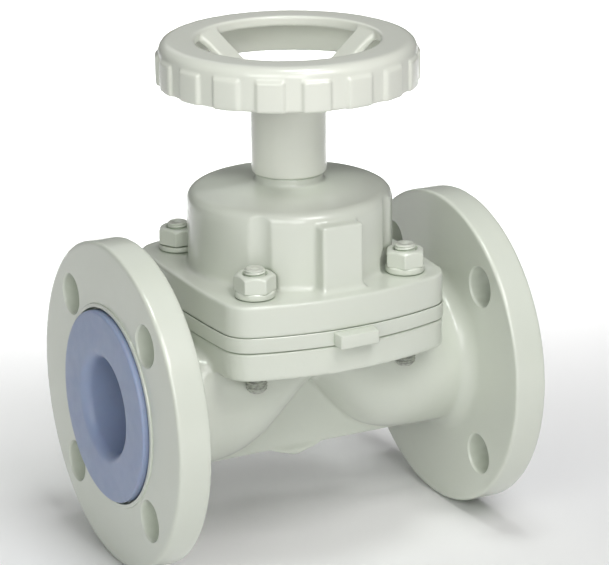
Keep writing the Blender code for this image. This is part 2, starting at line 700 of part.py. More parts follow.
def make_bush():
    bottom, top = BUSH_SPAN
    flange_r, flange_t = BUSH_FLANGE
    ring_r, ring_low, ring_high = RETAINER
    groove_low, groove_high = ring_low - RETAINER_PLAY, ring_high + RETAINER_PLAY
    seal_r, seal_low, seal_high = SEAL_GROOVE
    turned("spindle_bush",
           [(BUSH_R, top), (BUSH_R, groove_high), (RETAINER_GROOVE_R, groove_high),
            (RETAINER_GROOVE_R, groove_low), (BUSH_R, groove_low),
            (BUSH_R, bottom + flange_t), (flange_r, bottom + flange_t), (flange_r, bottom),
            (BUSH_BORE_R, bottom), (BUSH_BORE_R, seal_low), (seal_r, seal_low),
            (seal_r, seal_high), (BUSH_BORE_R, seal_high), (BUSH_BORE_R, top)],
           BRONZE, steps=MID_ROUND)
    flat_ring("bush_retaining_ring", ring_r, RETAINER_GROOVE_R + GAP, ring_low, ring_high, STEEL,
              MID_ROUND)
    ring("spindle_o_ring", *SPINDLE_SEAL, (seal_low + seal_high) / 2, RUBBER)
    ring("neck_o_ring", *NECK_SEAL, (NECK_GROOVE[1] + NECK_GROOVE[2]) / 2, RUBBER)


# ---------------------------------------------------------------- spindle and handwheel

def make_spindle():
    low, high = PIN_Z - PIN_R - GUIDE_PLAY, PIN_Z + PIN_R + GUIDE_PLAY
    spindle = turned("spindle",
                     [(0, SPINDLE_TOP), (JOURNAL_R - CHAMFER, SPINDLE_TOP),
                      (JOURNAL_R, SPINDLE_TOP - CHAMFER),
                      (JOURNAL_R, HUB_ROOF - GAP), (THREAD_R, HUB_ROOF - GAP),
                      (THREAD_R, SPINDLE_SHOULDER), (SPIGOT_R, SPINDLE_SHOULDER),
                      (SPIGOT_R, high), (PIN_GROOVE_R, high), (PIN_GROOVE_R, low),
                      (SPIGOT_R, low), (SPIGOT_R, SPIGOT_BOTTOM + CHAMFER),
                      (SPIGOT_R - CHAMFER, SPIGOT_BOTTOM), (0, SPIGOT_BOTTOM)],
                     STEEL, steps=MID_ROUND)
    inner, outer, half, low, high = KEY
    cut(spindle, box("spindle_keyway", (inner - GAP, -half - GAP, low - GAP),
                     (outer + BEYOND, half + GAP, high + GAP)))
    box("handwheel_key", (inner, -half, low), (outer, half, high), STEEL)


def rim_section(outer_r):
    """Hollow rim, open below: plate on top, skirt outside."""
    under = RIM_TOP - RIM_PLATE_T
    crown = [(r, RIM_TOP - drop) for r, drop in RIM_CROWN]
    return crown + [(outer_r, RIM_TOP - GRIP_DROP), (outer_r, RIM_BOTTOM),
                    (SKIRT_INNER_R, RIM_BOTTOM), (SKIRT_INNER_R, under), (RIM_EYE_R, under)]


def make_rim(name, finish):
    """The rim as a closed loop of sections, with grip pads standing off its skirt."""
    pitch = 2 * pi / GRIPS
    low_r = RIM_R - GRIP_DEPTH
    around = [((k + share) * pitch + GRIP_TURN, outer_r) for k in range(GRIPS)
              for share, outer_r in zip(GRIP_SHARES, (RIM_R, RIM_R, low_r, low_r))]
    shape = bmesh.new()
    rows = [[shape.verts.new((r * cos(a) * MM, r * sin(a) * MM, z * MM))
             for r, z in rim_section(outer_r)] for a, outer_r in around]
    for row, after in zip(rows, rows[1:] + rows[:1]):
        for k in range(len(row)):
            n = (k + 1) % len(row)
            shape.faces.new((row[k], row[n], after[n], after[k]))
    bmesh.ops.triangulate(shape, faces=shape.faces)
    return add_object(name, mesh_from(name, shape), finish)


def spoke(name, heading):
    """A flat bar that slopes from the hub's top up to the rim's plate."""
    turn = Matrix.Rotation(heading, 3, "Z")
    ends = [[(r, -half, low), (r, half, low), (r, half, high), (r, -half, high)]
            for r, half, low, high in SPOKE_ENDS]
    return loft(name, [[turn @ Vector(p) for p in end] for end in ends])


def make_handwheel():
    wheel = make_rim("handwheel", PAINT)
    hub = turned("hub", [(0, HUB_TOP), (HUB_R - HUB_CHAMFER, HUB_TOP), (HUB_R, HUB_TOP - HUB_CHAMFER),
                         (HUB_R, HUB_BOTTOM), (0, HUB_BOTTOM)])
    join(wheel, *[spoke(f"spoke_{k}", SPOKE_START + 2 * pi * k / SPOKES) for k in range(SPOKES)])
    join(wheel, hub)
    inner, outer, half = KEY[:3]
    cut(wheel,
        rod("hub_bore", HUB_BORE_R, HUB_BOTTOM - BEYOND, HUB_ROOF, steps=ROUND),
        rod("journal_hole", JOURNAL_R + GAP, HUB_ROOF - BEYOND, RIM_TOP, steps=MID_ROUND),
        box("hub_keyway", (0, -half - GAP, HUB_ROOF - BEYOND), (outer + GAP, half + GAP, RIM_TOP)))
    bore_r = JOURNAL_R + GAP
    flat_ring("hub_washer", INNER_WASHER_R, bore_r, HUB_TOP + GAP, HUB_NUT[0] - GAP, STEEL)
    hex_nut("hub_nut", HUB_NUT_FLATS, bore_r, *HUB_NUT)


# ---------------------------------------------------------------- assembly

def axis(name, parent=None):
    """An empty on the spindle axis that carries one moving group."""
    empty = bpy.data.objects.new(name, None)
    empty.empty_display_size = 20 * MM
    VALVE.objects.link(empty)
    empty.parent = parent
    return empty


def carry(empty, names):
    for name in names:
        bpy.data.objects[name].parent = empty


make_body()
make_liner()
make_diaphragm()
make_compressor()
make_bonnet()
make_fasteners()
make_bush()
make_spindle()
make_handwheel()

lift = axis("stem_lift")
turn = axis("handwheel_turn", lift)
carry(lift, ["compressor", "compressor_pin_front", "compressor_pin_rear", "thrust_washer",
             "diaphragm_insert_stud"])
carry(turn, ["spindle", "handwheel", "handwheel_key", "hub_washer", "hub_nut"])
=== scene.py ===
import json
from math import atan2, copysign, cos, exp, pi, radians, sin, tan

import bmesh
import bpy
import numpy as np
from mathutils import Matrix, Vector


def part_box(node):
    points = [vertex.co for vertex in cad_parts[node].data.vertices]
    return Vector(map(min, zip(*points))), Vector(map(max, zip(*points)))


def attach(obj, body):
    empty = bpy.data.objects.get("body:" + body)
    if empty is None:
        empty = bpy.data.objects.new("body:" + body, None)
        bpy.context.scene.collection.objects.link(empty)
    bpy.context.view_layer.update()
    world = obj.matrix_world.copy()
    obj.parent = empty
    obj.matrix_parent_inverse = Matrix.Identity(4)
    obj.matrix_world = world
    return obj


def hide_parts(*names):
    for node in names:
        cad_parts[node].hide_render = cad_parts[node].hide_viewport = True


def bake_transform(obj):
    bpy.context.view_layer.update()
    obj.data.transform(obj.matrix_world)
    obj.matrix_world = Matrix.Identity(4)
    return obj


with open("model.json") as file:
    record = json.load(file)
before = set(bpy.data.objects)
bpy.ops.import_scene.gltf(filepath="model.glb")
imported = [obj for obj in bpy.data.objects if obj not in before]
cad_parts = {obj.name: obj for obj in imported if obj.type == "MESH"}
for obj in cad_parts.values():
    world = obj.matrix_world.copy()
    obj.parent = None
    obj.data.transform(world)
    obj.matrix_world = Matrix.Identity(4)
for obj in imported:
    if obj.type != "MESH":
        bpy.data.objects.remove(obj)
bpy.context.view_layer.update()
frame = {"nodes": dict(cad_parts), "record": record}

MM = 0.001
COARSE = 1.0
GAP = 0.3
BEYOND = 5.0
SHARP = radians(38)


def span(node):
    low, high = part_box(node)
    return low / MM, high / MM


body_low, body_high = span("body")
liner_high = span("body_liner")[1]
cushion_low, cushion_high = span("diaphragm_cushion")
bonnet_low, bonnet_high = span("bonnet")
wheel_low, wheel_high = span("handwheel")
spindle_low, spindle_high = span("spindle")

# pipe flanges and lining
LIP_R, LIP_T = 48.3, 0.8
FACE = body_high.x - LIP_T                   # iron face of the flange, before its raised lip
FLANGE_R = body_high.y
FLANGE_T = 16.0
FLANGE_EDGE = 0.7
PCD = 120.0
BOLT_HOLE_R = 9.5
BORE_R = 22.8
LINER_T = 3.2
LINER_PROUD = liner_high.x - FACE
LINER_FACE_R = liner_high.y
LINER_PLAY = 0.9
LINER_SEAT = 3.0
MOUTH_R = 5.0
WEIR_SPREAD, HUMP_POWER = 22.0, 1.8
WEIR_TOP, WEIR_HALF, WEIR_STEP = 10.0, 3.0, 0.8
PASSAGE_ROOF = 27.0
BOWL_R, BOWL_SAG = 39.0, 24.5
TOP_SEAT_R, TOP_SEAT_T = 44.0, 2.2

# cast body
NECK_R, NECK_FILLET = 35.5, 8.0
BELLY_SPREAD, BELLY_TOP = 23.5, 0.0
SHOULDER, SHOULDER_TOP, SHOULDER_POWER = (58.0, 72.0), 28.0, 0.35
BODY_FLANGE_LOW = 21.0
WEB = (74.0, 4.0, -37.0, 4.0)                # reach, half width, bottom, top
FOOT = ((-28.0, 14.0, 3.2), (-36.4, 13.6, 4.3), (-37.6, 11.8, 5.2), (-39.4, 6.0, 5.0),
        (-41.0, 1.6, 4.2))                   # height, half length, half width
BODY_HALF_LENGTH = 87.0                      # of the casting between the flanges, its ends inside them

# square flanges and diaphragm
HALF_X, HALF_Y = bonnet_high.x, bonnet_high.y
CORNER, CORNER_R = 42.5, 14.0
FACING_R, FACING_T = 49.0, 2.2
SEAT = span("diaphragm_facing")[1].z - GAP - FACING_T     # top of the body's square flange
CUSHION_TOP = cushion_high.z
CUSHION_PROUD = 0.4
BEAD = ((0.0, -0.2), (0.0, 0.45), (0.25, 0.75), (0.6, 0.65), (1.3, 0.0))    # inset, height over its top
CUSHION_CORE_R = 46.0
TAB_HALF, TAB_REACH = 10.0, -cushion_low.y

# bonnet
BONNET_LOW, BONNET_TOP = bonnet_low.z, 57.0
HOUSING_R, HOUSING_SHOULDER, SHOULDER_R, CROWN_TOP = 48.3, 93.0, 6.0, 96.4
COLLAR_R, COLLAR_TOP = 16.0, 100.4
NECK_TUBE_R, NECK_TOP = 15.0, bonnet_high.z
NECK_GROOVE = (12.9, 116.1, 118.9)
CAVITY_R, CAVITY_ROOF_R, CAVITY_TOP = 41.5, 34.0, 88.0
BUSH_R = 10.8
PAD_HALF, PAD_REACH = 10.5, 54.3
PAD_ROWS = ((2.0, 53.0), (2.0, 57.0), (1.0, 57.6), (0.4, 58.6), (0.0, 60.0), (0.0, 87.0), (-0.25, 87.7),
            (-0.9, 88.0))                    # how far the pad's plan is grown, height
GUIDE_RIB = (34.6, 4.0, 42.5, 80.0)
BASE_FILLET = 3.0
SPOT_Z, SPOT_R, SPOT_TOP, GROOVE_R = 56.8, 12.3, 65.0, 10.4
STUD_R, STUD_PITCH = 5.0, 1.5

# handwheel and spindle
RIM_R, GRIP_DEPTH, GRIPS, GRIP_STEPS, GRIP_TURN = 61.5, 1.5, 18, 24, radians(-4.4)
RIM_TOP, RIM_BOTTOM, RIM_PLATE_T = wheel_high.z, 144.0, 4.9
SKIRT_R, EYE_R = 57.4, 43.2
CROWN_R, CROWN_DROP = 55.2, 4.9              # where the rim's top turns down, and how far it does
PAD_SHARE, PAD_FLANK = 0.325, 0.045          # a grip pad's half width and flank, as shares of a pitch
PAD_HEAD, PAD_SLOPE = 5.0, 1.9               # where a pad begins under the rim's top, over what height
HUB_R, HUB_BORE_R, HUB_BOTTOM, HUB_ROOF, HUB_TOP = 17.65, 15.35, wheel_low.z, 128.0, 140.0
SPOKES, SPOKE_START = 3, radians(3.5)
SPOKE_IN, SPOKE_OUT = (13.5, 6.0, 132.0, 139.3), (43.8, 7.1, 159.6, 163.6)  # radius, half width, low, high
SPOKE_EDGE = 1.3
THREAD_R, JOURNAL_R, SHOULDER_Z = 8.0, 6.0, 58.0

# camera, from the photograph's perspective: lens and position in the row frame
CAMERA_AT = (-0.59160, -1.17397, 0.48109)
CAMERA_AXES = ((0.88921, -0.45749, -0.01004), (0.15252, 0.27562, 0.94909), (-0.43141, -0.84543, 0.31483))
CAMERA_LENS = 172.6


# ---------------------------------------------------------------- meshes

def new_piece(name, verts, faces):
    mesh = bpy.data.meshes.new(name)
    mesh.from_pydata([tuple(v) for v in np.asarray(verts, float) * MM], [], faces)
    shape = bmesh.new()
    shape.from_mesh(mesh)
    bmesh.ops.recalc_face_normals(shape, faces=shape.faces)
    shape.to_mesh(mesh)
    shape.free()
    mesh.shade_smooth()
    mesh.set_sharp_from_angle(angle=SHARP)
    piece = bpy.data.objects.new(name, mesh)
    bpy.context.scene.collection.objects.link(piece)
    return piece


def skin(name, rows, loop=False):
    """Joins closed rings of equal point count into one closed mesh; loop joins last to first."""
    count, n = len(rows), len(rows[0])
    faces = []
    for i in range(count if loop else count - 1):
        a, b = i * n, (i + 1) % count * n
        faces += [(a + k, a + (k + 1) % n, b + (k + 1) % n, b + k) for k in range(n)]
    if not loop:
        faces += [tuple(range(n)), tuple(range(count * n - 1, (count - 1) * n - 1, -1))]
    return new_piece(name, np.concatenate([np.asarray(r, float) for r in rows]), faces)


def lathe(name, profile, steps=96, at=(0, 0), lie=0, closed=False):
    """Turns (radius, height) points about the axis; points on the axis become one vertex.

    closed joins the profile's end to its start. lie is the side of X that +Z is tipped to.
    """
    ring = [(cos(2 * pi * k / steps), sin(2 * pi * k / steps)) for k in range(steps)]
    verts, rows, faces = [], [], []
    for r, z in profile:
        if r < 1e-6:
            rows.append([len(verts)] * steps)
            verts.append((0.0, 0.0, z))
        else:
            rows.append(list(range(len(verts), len(verts) + steps)))
            verts += [(r * c, r * s, z) for c, s in ring]
    for a, b in zip(rows, rows[1:] + (rows[:1] if closed else [])):
        for k in range(steps):
            n = (k + 1) % steps
            face = list(dict.fromkeys((a[k], a[n], b[n], b[k])))
            if len(face) > 2:
                faces.append(face)
    points = np.array(verts)
    if lie:
        points = points @ np.array(Matrix.Rotation(lie * pi / 2, 3, "Y")).T
    return new_piece(name, points + np.array((*at, 0.0)), faces)


def rounded(points, closed=False, count=5):
    """Softens a polyline: a point given as (x, y, radius) is turned into an arc."""
    out = []
    for k, p in enumerate(points):
        if len(p) == 2 or not closed and k in (0, len(points) - 1):
            out.append(tuple(p[:2]))
            continue
        here = Vector(p[:2])
        back = Vector(points[k - 1][:2]) - here
        on = Vector(points[(k + 1) % len(points)][:2]) - here
        reach = min(p[2] / tan(back.angle(on) / 2), 0.48 * back.length, 0.48 * on.length)
        a, b = here + back.normalized() * reach, here + on.normalized() * reach
        for i in range(count + 1):
            t = i / count
            q = a * (1 - t) ** 2 + here * 2 * t * (1 - t) + b * t * t
            out.append((q.x, q.y))
    return out


def quarter_turn(count):
    return [pi / 2 * k / count for k in range(count + 1)]


def soft_foot(low, edge, count=4):
    """(inset, height) up the rounded bottom edge of a slab."""
    return [(edge * (1 - sin(a)), low + edge * (1 - cos(a))) for a in quarter_turn(count)]


def soft_heights(low, high, edge, count=4):
    """(inset, height) from bottom to top of a slab with rounded edges."""
    return (soft_foot(low, edge, count)
            + [(edge * (1 - cos(a)), high - edge * (1 - sin(a))) for a in quarter_turn(count)])


def block(name, low, high, soft=0.6, corner=1.0):
    """A block with rounded upright corners and rounded top and bottom edges."""
    mid = ((low[0] + high[0]) / 2, (low[1] + high[1]) / 2)
    hx, hy = (high[0] - low[0]) / 2, (high[1] - low[1]) / 2
    rows = []
    for inset, z in soft_heights(low[2], high[2], soft, 3):
        row = []
        for sx, sy, start in ((1, 1, 0), (-1, 1, 1), (-1, -1, 2), (1, -1, 3)):
            for k in range(5):
                a = (start + k / 4) * pi / 2
                r = max(corner - inset, 0.05)
                row.append((mid[0] + sx * (hx - corner) + r * cos(a),
                            mid[1] + sy * (hy - corner) + r * sin(a), z))
        rows.append(row)
    return skin(name, rows)


def carve(piece, *tools, operation="DIFFERENCE"):
    for tool in tools:
        step = piece.modifiers.new(tool.name, "BOOLEAN")
        step.operation, step.solver, step.object = operation, "MANIFOLD", tool
        tool.hide_render = True


def settle(piece):
    """Replaces the mesh by what its modifiers make, and removes the modifiers and their tools."""
    tools = [m.object for m in piece.modifiers if m.type == "BOOLEAN"]
    bpy.context.view_layer.update()
    made = bpy.data.meshes.new_from_object(piece.evaluated_get(bpy.context.evaluated_depsgraph_get()))
    piece.modifiers.clear()
    old, piece.data = piece.data, made
    made.name = piece.name
    bpy.data.meshes.remove(old)
    for tool in set(tools):
        bpy.data.objects.remove(tool, do_unlink=True)
    made.shade_smooth()
    made.set_sharp_from_angle(angle=SHARP)
    return piece


def soften(piece, voxel, rounds, keep=1.0):
    """Rounds every edge as a casting's are: even small facets, smoothed, then thinned out."""
    cells = piece.modifiers.new("cells", "REMESH")
    cells.mode, cells.voxel_size = "VOXEL", voxel * COARSE * MM
    smooth = piece.modifiers.new("smooth", "SMOOTH")
    smooth.factor, smooth.iterations = 0.5, max(2, round(rounds / COARSE ** 2))
    if keep < 1.0 and COARSE == 1.0:
        piece.modifiers.new("thin", "DECIMATE").ratio = keep
    return settle(piece)


# ---------------------------------------------------------------- shared shapes

def side_arc(reach):
    inner = reach - CORNER_R
    return (2 * CORNER ** 2 - inner ** 2) / (2 * (inner - CORNER))


def flange_outline(inset):
    """The square flange's outline: four corner arcs and four bulged sides."""
    back_y, back_x = side_arc(HALF_Y), side_arc(HALF_X)
    split_y, split_x = atan2(CORNER, CORNER + back_y), atan2(CORNER, CORNER + back_x)
    points = []
    for turn in range(4):
        reach, back, half, other = ((HALF_Y, back_y, split_y, split_x) if turn % 2 == 0
                                    else (HALF_X, back_x, split_x, split_y))
        side = [(back, reach + back - inset, -pi / 2 - half + half * k / 12) for k in range(25)]
        arc = [(r * cos(a), y + r * sin(a)) for y, r, a in side]
        for k in range(1, 14):
            a = -pi / 2 + half + (pi / 2 - half - other) * k / 14
            arc.append((CORNER + (CORNER_R - inset) * cos(a), -CORNER + (CORNER_R - inset) * sin(a)))
        heading = Matrix.Rotation(turn * pi / 2, 2)
        points += [tuple(heading @ Vector(p)) for p in arc]
    return points


def flat_ring(outline, z):
    return [(x, y, z) for x, y in outline]


def slab(name, low, high, edge):
    return skin(name, [flat_ring(flange_outline(inset), z) for inset, z in soft_heights(low, high, edge)])


def hump(x, spread):
    """1 over the weir, falling away smoothly along the pipe."""
    return exp(-(abs(x) / spread) ** HUMP_POWER)


def passage_section(x, grow, sides=64):
    lift = hump(x, WEIR_SPREAD)
    floor = -BORE_R + (WEIR_TOP - WEIR_STEP + BORE_R) * lift
    roof = BORE_R + (PASSAGE_ROOF - BORE_R) * lift
    middle, half = (roof + floor) / 2, (roof - floor) / 2
    return [(x, (BORE_R + grow) * cos(a), middle + (half + grow) * sin(a))
            for a in (2 * pi * k / sides for k in range(sides))]


def outer_passage(name, grow, end):
    return skin(name, [passage_section(x, grow) for x in np.linspace(-end, end, 97)])


def inner_passage(name, side):
    face = FACE + LINER_PROUD
    flare = [(face - MOUTH_R * (1 - sin(a)), MOUTH_R * (1 - cos(a)))
             for a in np.linspace(pi / 2, 0, 13)]
    run = [(face + 2, MOUTH_R)] + flare + [(x, 0.0) for x in np.linspace(face - MOUTH_R, WEIR_HALF, 48)[1:]]
    return skin(name, [passage_section(side * x, grow, 96) for x, grow in run])


def bowl_height(r):
    return WEIR_TOP + BOWL_SAG * (r / BOWL_R) ** 2


def bowl(name, grow, top):
    wall = []
    for k in range(24, -1, -1):
        r = BOWL_R * k / 24
        lean = atan2(2 * BOWL_SAG * r, BOWL_R ** 2)
        wall.append((r + grow * sin(lean), bowl_height(r) - grow * cos(lean)))
    wall[-1] = (0, wall[-1][1])
    return lathe(name, [(0, top), (wall[0][0], top)] + wall)


def places():
    """Name and centre of each of the four bonnet studs, from their CAD nodes."""
    spots = {}
    for node in sorted(frame["nodes"]):
        if node.startswith("bonnet_stud_"):
            low, high = span(node)
            spots[node[len("bonnet_stud_"):]] = ((low.x + high.x) / 2, (low.y + high.y) / 2)
    return spots


STUDS = places()


def drill(name, radius, low, high, at=(0, 0), steps=64):
    """A plain cylinder, mostly a cutter for a round hole."""
    return lathe(name, [(0, high), (radius, high), (radius, low), (0, low)], steps, at)


# ---------------------------------------------------------------- body

def belly_section(x, sides=120):
    lift = hump(x, BELLY_SPREAD)
    inner, outer = SHOULDER
    inside = min(max((outer - abs(x)) / (outer - inner), 0.0), 1.0)
    inside = inside * inside * (3 - 2 * inside)
    bottom = -NECK_R + (BELLY_TOP + NECK_R) * lift
    middle = BODY_FLANGE_LOW * lift
    top = NECK_R + (SHOULDER_TOP - NECK_R) * inside
    power = 1.0 + (SHOULDER_POWER - 1.0) * inside
    section = []
    for k in range(sides):
        across, up = cos(2 * pi * k / sides), sin(2 * pi * k / sides)
        if up > 1e-9:
            across = copysign(abs(across) ** power, across)
            section.append((x, NECK_R * across, middle + (top - middle) * up ** power))
        else:
            section.append((x, NECK_R * across, middle + (middle - bottom) * up))
    return section


def pipe_flange(name, side):
    back = FACE - FLANGE_T
    fillet = [(NECK_R + NECK_FILLET - NECK_FILLET * sin(a) - 0.3, back - NECK_FILLET * (1 - cos(a)))
              for a in np.linspace(0, pi / 2, 12)]
    profile = rounded([(0, FACE), (FLANGE_R, FACE, FLANGE_EDGE), (FLANGE_R, back, FLANGE_EDGE)]
                      + fillet + [(0, back - NECK_FILLET)])
    return lathe(name, profile, 180, lie=side)


def make_body():
    reach, half, low, high = WEB
    body = skin("body_casting", [belly_section(x) for x in np.linspace(-BODY_HALF_LENGTH, BODY_HALF_LENGTH, 110)])
    foot = skin("foot", [[(-a, -b, z), (a, -b, z), (a, b, z), (-a, b, z)] for z, a, b in FOOT])
    web_rows = ((low, half - 0.5), (low + 1, half), (-10, half + 0.8), (high, half + 3))
    web = skin("web", [[(-reach, -b, z), (reach, -b, z), (reach, b, z), (-reach, b, z)] for z, b in web_rows])
    carve(body, slab("square_flange", BODY_FLANGE_LOW, SEAT, 0.5), pipe_flange("flange_left", -1),
          pipe_flange("flange_right", 1), web, foot, operation="UNION")
    soften(body, 0.85, 7, 0.45)
    for side in (-1, 1):
        seat_r = LINER_FACE_R + LINER_PLAY
        seat = [(0, FACE + BEYOND), (seat_r + 0.3, FACE + BEYOND), (seat_r + 0.3, FACE + LIP_T - 0.3),
                (seat_r, FACE + LIP_T - 0.7), (seat_r, FACE - LINER_SEAT), (0, FACE - LINER_SEAT)]
        lip = rounded([(LIP_R - 3, FACE + LIP_T), (LIP_R, FACE + LIP_T, 0.35), (LIP_R + 0.5, FACE - 1.2),
                       (LIP_R - 3, FACE - 1.2)])
        carve(body, lathe(f"lip_{side}", lip, 180, lie=side, closed=True), operation="UNION")
        carve(body, lathe(f"seat_{side}", seat, 180, lie=side))
        for k in range(4):
            a = pi / 4 + k * pi / 2
            hole = bolt_hole(f"bolt_hole_{side}_{k}", side)
            hole.data.transform(Matrix.Translation((0, PCD / 2 * cos(a) * MM, PCD / 2 * sin(a) * MM)))
            carve(body, hole)
    carve(body, outer_passage("passage", LINER_T + GAP, FACE - 1), bowl("bowl", LINER_T + GAP, SEAT + BEYOND),
          drill("top_seat", TOP_SEAT_R + GAP, SEAT - TOP_SEAT_T - GAP, SEAT + BEYOND, steps=96))
    for place, at in STUDS.items():
        carve(body, drill("stud_hole_" + place, STUD_R + GAP, BODY_FLANGE_LOW - 8, SEAT + BEYOND, at, steps=48))
    return settle(body)


def bolt_hole(name, side):
    back, lead = FACE - FLANGE_T, 0.7
    profile = [(0, FACE + BEYOND), (BOLT_HOLE_R + lead + BEYOND, FACE + BEYOND), (BOLT_HOLE_R + lead, FACE),
               (BOLT_HOLE_R + 0.2, FACE - 0.45), (BOLT_HOLE_R, FACE - 1.1), (BOLT_HOLE_R, back + 1.1),
               (BOLT_HOLE_R + 0.2, back + 0.45), (BOLT_HOLE_R + lead, back),
               (BOLT_HOLE_R + lead + 3, back - 3), (0, back - 3)]
    return lathe(name, profile, 64, lie=side)


def make_lining():
    lining = outer_passage("port_lining", LINER_T, FACE - 1)
    carve(lining, drill("lining_top", TOP_SEAT_R, SEAT - TOP_SEAT_T, SEAT, steps=96),
          bowl("lining_bowl", LINER_T, SEAT - GAP), operation="UNION")
    for side in (-1, 1):
        face = rounded([(0, FACE + LINER_PROUD), (LINER_FACE_R, FACE + LINER_PROUD, 1.4),
                        (LINER_FACE_R, FACE - LINER_SEAT + GAP), (0, FACE - LINER_SEAT + GAP)])
        carve(lining, lathe(f"lining_face_{side}", face, 180, lie=side), operation="UNION")
    for side in (-1, 1):
        carve(lining, inner_passage(f"lining_inside_{side}", side))
    carve(lining, bowl("lining_dish", 0.0, SEAT + BEYOND))
    return settle(lining)


# ---------------------------------------------------------------- diaphragm

def dish(offset, count=30):
    return [(BOWL_R * k / count, bowl_height(BOWL_R * k / count) + offset) for k in range(count, -1, -1)]


def make_facing():
    low, high = GAP, GAP + FACING_T
    profile = (dish(high)[::-1] + [(FACING_R - 0.3, SEAT + high), (FACING_R, SEAT + high - 0.3),
                                   (FACING_R, SEAT + low)] + dish(low))
    return lathe("facing_sheet", profile, 128)


def make_cushion():
    under, over = GAP + FACING_T + GAP, CUSHION_TOP - SEAT
    lower_edge = soft_foot(SEAT + GAP, 0.6)
    bead = [(inset, CUSHION_TOP + height) for inset, height in BEAD]
    cushion = skin("diaphragm_edge", [flat_ring(flange_outline(inset - CUSHION_PROUD), z)
                                      for inset, z in lower_edge + bead])
    carve(cushion, block("tab", (-TAB_HALF, -TAB_REACH, SEAT + GAP), (TAB_HALF, -TAB_REACH + 16, CUSHION_TOP),
                         0.6, 1.1),
          drill("core", CUSHION_CORE_R, 0, SEAT + under + 1, steps=96), operation="UNION")
    lower = dish(under)[::-1] + [(FACING_R + GAP, SEAT + under), (FACING_R + GAP, -BEYOND), (0, -BEYOND)]
    widest, above = BOWL_R * 1.05, CUSHION_TOP + BEYOND
    upper = [(0, above), (widest, above), (widest, bowl_height(widest) + over)] + dish(over)
    carve(cushion, lathe("under", lower, 96), lathe("over", upper, 96), drill("boss", 4.3, 0, above, steps=48))
    for place, at in STUDS.items():
        carve(cushion, drill("cushion_hole_" + place, STUD_R + 0.5, SEAT - BEYOND, above, at, steps=48))
    return settle(cushion)


# ---------------------------------------------------------------- bonnet

def pad_outline(grow):
    """A pad's plan on the housing's rear side, its sides faired into the round wall."""
    half, reach, root = PAD_HALF + grow, PAD_REACH + grow, HOUSING_R - 1.3
    return rounded([(half + 4.5, 38.0), (half + 4.5, root - 2.0), (half, root, 3.0), (half, reach, 1.2),
                    (-half, reach, 1.2), (-half, root, 3.0), (-half - 4.5, root - 2.0), (-half - 4.5, 38.0)])


def make_bonnet():
    profile = rounded([
        (0, NECK_TOP), (NECK_TUBE_R, NECK_TOP, 0.8), (NECK_TUBE_R, COLLAR_TOP),
        (COLLAR_R, COLLAR_TOP, 0.8), (COLLAR_R, CROWN_TOP, 1.8),
        (HOUSING_R, HOUSING_SHOULDER - 0.3, SHOULDER_R), (HOUSING_R, BONNET_TOP, BASE_FILLET),
        (HOUSING_R + 4 * BASE_FILLET, BONNET_TOP), (HOUSING_R + 4 * BASE_FILLET, BONNET_TOP - 6),
        (0, BONNET_TOP - 6)], count=9)
    trimmed = [(min(r, HOUSING_R + 2.4), z) for r, z in profile]
    bonnet = lathe("bonnet_casting", trimmed, 180)
    carve(bonnet, slab("bonnet_flange", BONNET_LOW, BONNET_TOP, 1.1), operation="UNION")
    for side in (-1, 1):
        carve(bonnet, skin(f"pad_{side}", [[(x, side * y, z) for x, y in pad_outline(grow)]
                                           for grow, z in PAD_ROWS]), operation="UNION")
    for place, at in STUDS.items():
        carve(bonnet, drill("groove_" + place, GROOVE_R, SPOT_Z, NECK_TOP, at),
              lathe("spot_" + place, rounded([(0, SPOT_TOP + 3), (GROOVE_R, SPOT_TOP + 2, 2),
                                              (SPOT_R, SPOT_TOP - 1, 2), (SPOT_R, SPOT_Z), (0, SPOT_Z)]), 64, at))
    soften(bonnet, 0.7, 6, 0.45)
    groove_r, low, high = NECK_GROOVE
    cavity = [(0, CAVITY_TOP), (CAVITY_ROOF_R, CAVITY_TOP), (CAVITY_R, CAVITY_TOP - CAVITY_R + CAVITY_ROOF_R),
              (CAVITY_R, BONNET_LOW - BEYOND), (0, BONNET_LOW - BEYOND)]
    carve(bonnet, lathe("cavity", cavity, 96), drill("bore", BUSH_R + GAP, CAVITY_TOP - BEYOND, NECK_TOP + BEYOND),
          lathe("seal_groove", [(groove_r, high), (NECK_TUBE_R + 2, high), (NECK_TUBE_R + 2, low),
                                (groove_r, low)], 96, closed=True))
    for place, at in STUDS.items():
        carve(bonnet, drill("bonnet_hole_" + place, STUD_R + 0.5, BONNET_LOW - BEYOND, BONNET_TOP + BEYOND, at,
                            steps=48))
    face, half, low, high = GUIDE_RIB
    for side in (-1, 1):
        near, far = sorted((side * face, side * (CAVITY_R + 2.5)))
        carve(bonnet, block(f"rib_{side}", (near, -half, low), (far, half, high), 0.4, 0.5), operation="UNION")
    return settle(bonnet)


# ---------------------------------------------------------------- fasteners

